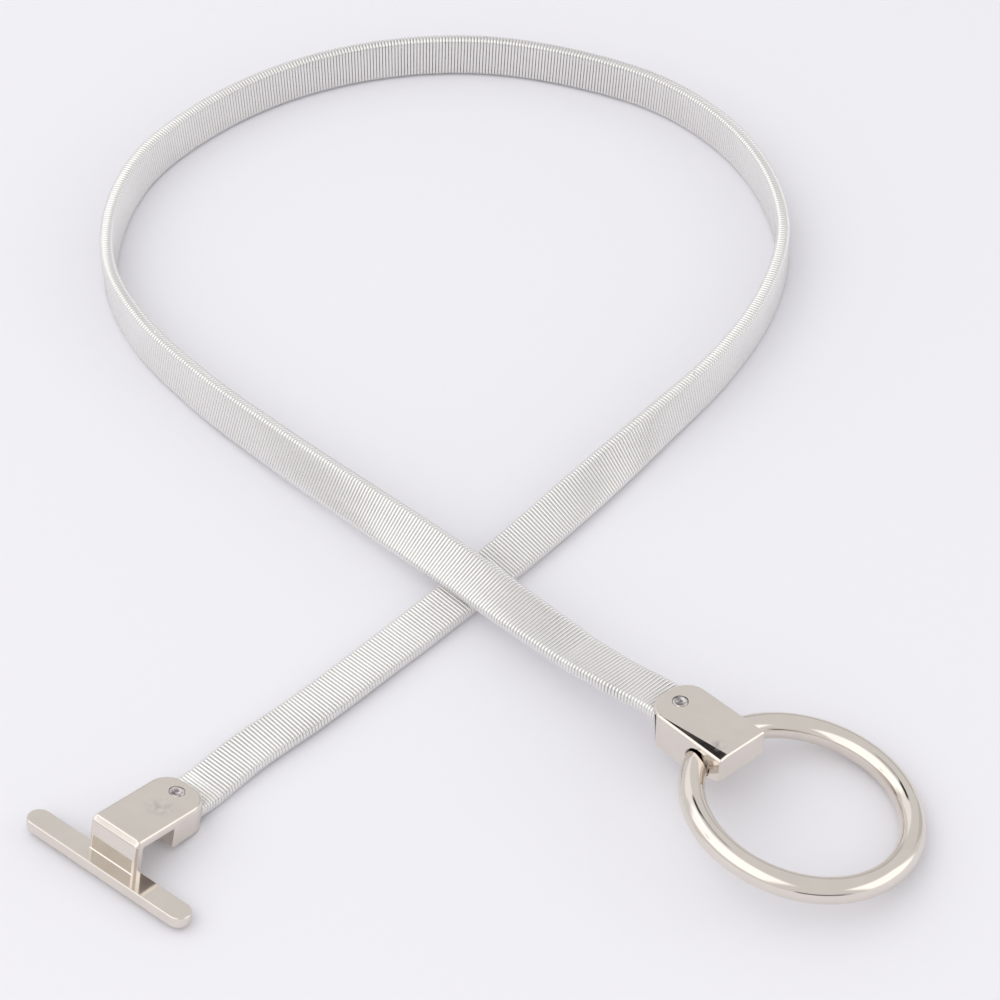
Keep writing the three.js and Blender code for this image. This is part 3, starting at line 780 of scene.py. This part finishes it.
def soften(target, width_at, profile):
    """Wears the sharp edges down, as polishing does. width_at gives the width at an edge's middle."""
    shape = bmesh.new()
    shape.from_mesh(target.data)
    bmesh.ops.remove_doubles(shape, verts=shape.verts, dist=WELD_DISTANCE)
    bmesh.ops.dissolve_limit(shape, angle_limit=FLAT_ANGLE, verts=shape.verts, edges=shape.edges)
    weights = shape.edges.layers.float.new("bevel_weight_edge")
    for edge in shape.edges:
        if edge.calc_face_angle(0) > SMALL_EDGE_ANGLE:
            edge[weights] = width_at((edge.verts[0].co + edge.verts[1].co) / 2)
    shape.to_mesh(target.data)
    shape.free()
    bevel = target.modifiers.new("edges", "BEVEL")
    bevel.width = 1
    bevel.segments = EDGE_SEGMENTS
    bevel.profile = profile
    bevel.limit_method = "WEIGHT"
    bevel.use_clamp_overlap = False
    apply_modifiers(target)


def shade_evenly(target, is_crisp=lambda middle: False):
    """Flat faces stay flat, worn edges and arcs look smooth, and is_crisp picks shallow edges to keep."""
    shape = bmesh.new()
    shape.from_mesh(target.data)
    for face in shape.faces:
        face.smooth = True
    for edge in shape.edges:
        crisp = is_crisp((edge.verts[0].co + edge.verts[1].co) / 2)
        edge.smooth = edge.calc_face_angle(0) < SHARP_EDGE_ANGLE and not crisp
    shape.to_mesh(target.data)
    shape.free()
    weighted = target.modifiers.new("normals", "WEIGHTED_NORMAL")
    weighted.keep_sharp = True
    weighted.weight = FACE_WEIGHT
    apply_modifiers(target)


def cut_rivet_seat(body, x, floor, top, bottom):
    """The recess for a rivet's head, from its floor up, and the hole for the shank, from the bottom up."""
    boolean(body, cylinder("recess", RECESS_RADIUS, floor, top + CUT_OVERSHOOT, x), "DIFFERENCE")
    boolean(body, cylinder("hole", RIVET_HOLE_RADIUS, bottom - CUT_OVERSHOOT, top, x), "DIFFERENCE")


def finished(target, matrix):
    """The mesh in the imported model's place. Its helper object goes."""
    mesh = target.data
    mesh.transform(TO_MODEL @ matrix)
    bpy.data.objects.remove(target)
    return mesh


def round_ended_plan(front, rear, width):
    way = 1 if rear > front else -1
    half = width / 2
    corner = rear - way * END_CORNER_RADIUS
    corner_y = half - END_CORNER_RADIUS
    quarter = math.pi / 2
    if way > 0:
        near = arc((corner, -corner_y), END_CORNER_RADIUS, -quarter, 0)
        far = arc((corner, corner_y), END_CORNER_RADIUS, 0, quarter)
    else:
        near = arc((corner, -corner_y), END_CORNER_RADIUS, -quarter, -2 * quarter)
        far = arc((corner, corner_y), END_CORNER_RADIUS, -2 * quarter, -3 * quarter)
    return [(front, -half)] + near + far + [(front, half)]


# T-hook

def bar_edge(middle):
    return BAR_TOP_EDGE if middle.z > BAR_THICKNESS / 2 else BAR_LOWER_EDGE


def hook_bar():
    half = BAR_LENGTH / 2 - BAR_DEPTH / 2
    middle = -BAR_DEPTH / 2
    outline = arc((middle, half), BAR_DEPTH / 2, 0, math.pi)
    outline += arc((middle, -half), BAR_DEPTH / 2, math.pi, 2 * math.pi)
    bar = prism("hook_bar", outline, 0, BAR_THICKNESS)
    soften(bar, bar_edge, CHAMFERED)
    return bar


def neck_fillet():
    """The small slope between the neck's foot and the bar."""
    foot = -NECK_THICKNESS
    inside = foot + NECK_THICKNESS / 2
    outline = [(foot - NECK_FILLET, BAR_THICKNESS), (foot, BAR_THICKNESS + NECK_FILLET)]
    outline += [(inside, BAR_THICKNESS + NECK_FILLET), (inside, BAR_THICKNESS - NECK_FILLET)]
    outline.append((foot - NECK_FILLET, BAR_THICKNESS - NECK_FILLET))
    reach = HOOK_WIDTH / 2 - HOOK_SIDE_EDGE / 2
    return prism("neck_fillet", outline, -reach, reach, upright=False)


def hook_side():
    """Neck, bend, plate and sleeve from the side. The sleeve's bottom curves up to the rear."""
    slope = math.tan(PLATE_DROOP)
    underside = PLATE_TOP - PLATE_THICKNESS
    quarter = math.pi / 2
    inner = arc((INNER_BEND_RADIUS, underside - INNER_BEND_RADIUS), INNER_BEND_RADIUS, 2 * quarter, quarter)
    rear = (SLEEVE_END - SLEEVE_REAR_ROUND, SLEEVE_BOTTOM + SLEEVE_REAR_ROUND)
    outline = [(-NECK_THICKNESS, BAR_THICKNESS / 2), (0, BAR_THICKNESS / 2)] + inner
    outline += [(SLEEVE_FRONT, underside - slope * SLEEVE_FRONT), (SLEEVE_FRONT, SLEEVE_BOTTOM)]
    outline += arc(rear, SLEEVE_REAR_ROUND, -quarter, 0)
    outline += [(SLEEVE_END, underside - slope * SLEEVE_END), (PLATE_END, underside - slope * PLATE_END)]
    outline += [(PLATE_END, PLATE_TOP - slope * PLATE_END), (OUTER_BEND_CUT - NECK_THICKNESS, PLATE_TOP)]
    outline.append((-NECK_THICKNESS, PLATE_TOP - OUTER_BEND_CUT))
    return prism("hook_side", outline, -HOOK_WIDTH, HOOK_WIDTH, upright=False)


def hook_edge(middle):
    """Wide round the plate's top and down the neck, narrower across the bend and below the plate."""
    above = middle.z > PLATE_TOP - OUTER_BEND_CUT - NEAR
    on_side = abs(middle.y) > HOOK_WIDTH / 2 - NEAR
    in_front = middle.x < OUTER_BEND_CUT - NECK_THICKNESS + NEAR
    if in_front and not on_side:
        return HOOK_BEND_EDGE
    down_neck = middle.x < NEAR - NECK_THICKNESS
    return HOOK_SIDE_EDGE if above or down_neck else HOOK_SMALL_EDGE


def t_hook_mesh():
    body = hook_side()
    plan = round_ended_plan(-BAR_DEPTH, PLATE_END, HOOK_WIDTH)
    boolean(body, prism("plan", plan, 0, PLATE_TOP + CUT_OVERSHOOT), "INTERSECT")
    soften(body, hook_edge, ROUNDED)
    boolean(body, hook_bar(), "UNION")
    boolean(body, neck_fillet(), "UNION")
    pocket_top = SLEEVE_FLOOR + BAND_THICKNESS + 2 * GAP
    low = (SLEEVE_FRONT + SLEEVE_WALL, -HALF_POCKET, SLEEVE_FLOOR)
    high = (PLATE_END + CUT_OVERSHOOT, HALF_POCKET, pocket_top)
    boolean(body, box("pocket", low, high), "DIFFERENCE")
    cut_rivet_seat(body, HOOK_RIVET_X, HOOK_RECESS_FLOOR, PLATE_TOP, SLEEVE_BOTTOM)
    shade_evenly(body)
    return finished(body, hook_matrix)


# Ring clasp

def ring_crossing(side):
    """Where the ring's middle line crosses one side of the clasp, in the clasp's frame."""
    to_clasp = clasp_matrix.inverted() @ ring_matrix()
    best = None
    for step in range(CROSSING_STEPS):
        angle = step * math.pi / (CROSSING_STEPS / 2)
        on_ring = (RING_MIDDLE_RADIUS * math.cos(angle), RING_MIDDLE_RADIUS * math.sin(angle), 0)
        point = to_clasp @ Vector(on_ring)
        miss = abs(point.y - side)
        if point.x < 0 and (best is None or miss < best[0]):
            best = (miss, point)
    return best[1]


def tunnel_axis():
    near = ring_crossing(-CASTING_WIDTH / 2)
    far = ring_crossing(CASTING_WIDTH / 2)
    return (near + far) / 2, (far - near).normalized()


def lathe(name, profile, sides):
    """A solid of revolution about Z, from radius and height rows that start and end on the axis."""
    points = []
    rings = []
    for radius, height in profile:
        if radius == 0:
            rings.append([len(points)] * sides)
            points.append((0, 0, height))
        else:
            rings.append(list(range(len(points), len(points) + sides)))
            points += [(radius * math.cos(a), radius * math.sin(a), height)
                       for a in (2 * math.pi * k / sides for k in range(sides))]
    faces = []
    for low, high in zip(rings, rings[1:]):
        for k in range(sides):
            after = (k + 1) % sides
            faces.append(list(dict.fromkeys([low[k], low[after], high[after], high[k]])))
    mesh = bpy.data.meshes.new(name)
    mesh.from_pydata(points, [], faces)
    return new_object(name, mesh)


def tunnel():
    far_half = [(row["radius"], row["along"]) for row in TUNNEL_RADII]
    near_half = [(radius, -along) for radius, along in far_half[:0:-1]]
    end = TUNNEL_RADII[-1]["along"]
    made = lathe("tunnel", [(0, -end), *near_half, *far_half, (0, end)], 2 * ROUND_SIDES)
    middle, way = tunnel_axis()
    turn = way.to_track_quat("Z", "Y").to_matrix().to_4x4()
    made.data.transform(Matrix.Translation(middle) @ turn)
    return made


def clasp_side():
    """The clasp from the side: the top plate reaches past the box at the rear."""
    middle = tunnel_axis()[0].x
    front = middle + BRIDGE_HALF_LENGTH
    rear = middle - BRIDGE_HALF_LENGTH
    bottom = -CLASP_BRIDGE_BOTTOM
    rear_bottom = -CLASP_REAR_HEIGHT
    outline = [(0, 0), (-CLASP_TONGUE_END, 0), (-CLASP_TONGUE_END, -CLASP_TOP_THICKNESS)]
    outline += [(-CLASP_LENGTH, -CLASP_TOP_THICKNESS), (-CLASP_LENGTH, rear_bottom + CLASP_REAR_ROUND)]
    rear_round_end = (-CLASP_LENGTH + CLASP_REAR_ROUND, rear_bottom)
    outline += curve(outline[-1], (-CLASP_LENGTH, rear_bottom), rear_round_end)
    outline.append((rear, rear_bottom))
    outline += curve(outline[-1], ((rear + middle) / 2, bottom), (middle, bottom))
    outline += curve(outline[-1], ((front + middle) / 2, bottom), (front, -CLASP_FRONT_HEIGHT - BRIDGE_STEP))
    outline.append((-CLASP_FRONT_ROUND, -CLASP_FRONT_HEIGHT))
    outline += curve(outline[-1], (0, -CLASP_FRONT_HEIGHT), (0, -CLASP_FRONT_HEIGHT + CLASP_FRONT_ROUND))
    return prism("clasp_side", outline, -CASTING_WIDTH, CASTING_WIDTH, upright=False)


# The shallow facet beside the clasp's near top edge, which widens to the front: the corners of the wedge that
# is ground off, as x, how far in from the side, and z. The first three lie on the facet.
FACET_WEDGE = [
    {"x": -20.5, "inward": 0, "z": 0},
    {"x": 1.5, "inward": 2.5, "z": 0},
    {"x": 1.5, "inward": -1, "z": -0.62},
    {"x": -20.5, "inward": -1, "z": 0.5},
    {"x": 1.5, "inward": 2.5, "z": 1.5},
]


def facet_cutter():
    shape = bmesh.new()
    for row in FACET_WEDGE:
        shape.verts.new((row["x"], row["inward"] - CASTING_WIDTH / 2, row["z"]))
    bmesh.ops.convex_hull(shape, input=shape.verts)
    bmesh.ops.recalc_face_normals(shape, faces=shape.faces)
    mesh = bpy.data.meshes.new("facet")
    shape.to_mesh(mesh)
    shape.free()
    return new_object("facet", mesh)


def clasp_edge(middle):
    """Wider round the top face."""
    return CLASP_LOWER_EDGE if middle.z < -CLASP_TOP_THICKNESS + NEAR else CLASP_TOP_EDGE


def on_facet_edge(middle):
    """True on the line where the facet meets the top face."""
    first, second = FACET_WEDGE[:2]
    share = (middle.x - first["x"]) / (second["x"] - first["x"])
    inward = middle.y + CASTING_WIDTH / 2
    return abs(middle.z) < NEAR / 2 and abs(inward - share * second["inward"]) < NEAR


def ring_clasp_mesh():
    body = clasp_side()
    plan = round_ended_plan(CUT_OVERSHOOT, -CLASP_TONGUE_END, CASTING_WIDTH)
    bottom = -CLASP_BRIDGE_BOTTOM - CUT_OVERSHOOT
    boolean(body, prism("plan", plan, bottom, CUT_OVERSHOOT), "INTERSECT")
    boolean(body, facet_cutter(), "DIFFERENCE")
    soften(body, clasp_edge, CHAMFERED)
    low = (-CLASP_TONGUE_END - CUT_OVERSHOOT, -HALF_POCKET, CLASP_POCKET_BOTTOM)
    high = (POCKET_FLOOR_X, HALF_POCKET, -CLASP_TOP_THICKNESS)
    boolean(body, box("pocket", low, high), "DIFFERENCE")
    cut_rivet_seat(body, CLASP_RIVET_X, -RIVET_RECESS_DEPTH, 0, -CLASP_TOP_THICKNESS)
    boolean(body, tunnel(), "DIFFERENCE")
    shade_evenly(body, on_facet_edge)
    return finished(body, clasp_matrix)


# Rivets and ring

# A rivet head's rounded rim and the dish inside it: radius, and height above the head's seat.
RIVET_RIM = [
    {"radius": 1.6, "height": 0.2},
    {"radius": 1.56, "height": 0.36},
    {"radius": 1.46, "height": 0.45},
    {"radius": 1.32, "height": 0.47},
    {"radius": 1.18, "height": 0.42},
    {"radius": 1.02, "height": 0.31},
    {"radius": 0.84, "height": 0.19},
    {"radius": 0.6, "height": 0.1},
    {"radius": 0.3, "height": 0.06},
]
RIVET_DISH_FLOOR = 0.05


def rivet_mesh(name, head_floor, foot, x, matrix):
    """A rimmed, dished head on a plain shank."""
    seat = head_floor + GAP
    profile = [(0, foot), (RIVET_SHANK_RADIUS, foot), (RIVET_SHANK_RADIUS, seat), (RIVET_HEAD_RADIUS, seat)]
    profile += [(row["radius"], seat + row["height"]) for row in RIVET_RIM]
    profile.append((0, seat + RIVET_DISH_FLOOR))
    made = lathe(name, profile, ROUND_SIDES)
    made.data.shade_smooth()
    made.data.transform(Matrix.Translation((x, 0, 0)))
    return finished(made, matrix)


def ring_mesh():
    points = []
    for i in range(RING_STEPS):
        a = 2 * math.pi * i / RING_STEPS
        for j in range(RING_SECTION_SIDES):
            b = 2 * math.pi * j / RING_SECTION_SIDES
            reach = RING_MIDDLE_RADIUS + RING_WIRE_RADIUS * math.cos(b)
            points.append((reach * math.cos(a), reach * math.sin(a), RING_WIRE_RADIUS * math.sin(b)))
    faces = []
    for i in range(RING_STEPS):
        here = i * RING_SECTION_SIDES
        after = (i + 1) % RING_STEPS * RING_SECTION_SIDES
        for j in range(RING_SECTION_SIDES):
            k = (j + 1) % RING_SECTION_SIDES
            faces.append((here + j, after + j, after + k, here + k))
    mesh = bpy.data.meshes.new("ring_polished")
    mesh.from_pydata(points, [], faces)
    mesh.transform(TO_MODEL @ ring_matrix())
    mesh.shade_smooth()
    return mesh


def main():
    bpy.context.scene.view_settings.view_transform = "Standard"
    add_camera()
    add_world()
    add_floor(floor_material())
    ring_middle = TO_MODEL @ Vector((*RING_MIDDLE, RING_WIRE_RADIUS))
    for row in SOFT_PANELS:
        add_soft_panel(row, ring_middle)
    for row in DARK_CARDS:
        add_dark_card(row, ring_middle)
    add_dark_card(NECK_CARD, TO_MODEL @ Vector(NECK_FOOT))
    add_coil(spring_wire_material())
    casting = casting_material()
    rivet = rivet_material()
    add_piece("t_hook_cast", t_hook_mesh(), casting, "belt", "polished_casting", "t_hook")
    add_piece("ring_clasp_cast", ring_clasp_mesh(), casting, "belt", "polished_casting", "ring_clasp")
    hook_foot = SLEEVE_BOTTOM + GAP
    hook_rivet = rivet_mesh("hook_rivet_head", HOOK_RECESS_FLOOR, hook_foot, HOOK_RIVET_X, hook_matrix)
    clasp_foot = CLASP_POCKET_BOTTOM + GAP
    clasp_rivet = rivet_mesh(
        "clasp_rivet_head", -RIVET_RECESS_DEPTH, clasp_foot, CLASP_RIVET_X, clasp_matrix
    )
    add_piece("hook_rivet_head", hook_rivet, rivet, "belt", "rivet", "hook_rivet")
    add_piece("clasp_rivet_head", clasp_rivet, rivet, "belt", "rivet", "clasp_rivet")
    add_piece("ring_polished", ring_mesh(), casting, "ring", "polished_casting", "ring")


main()
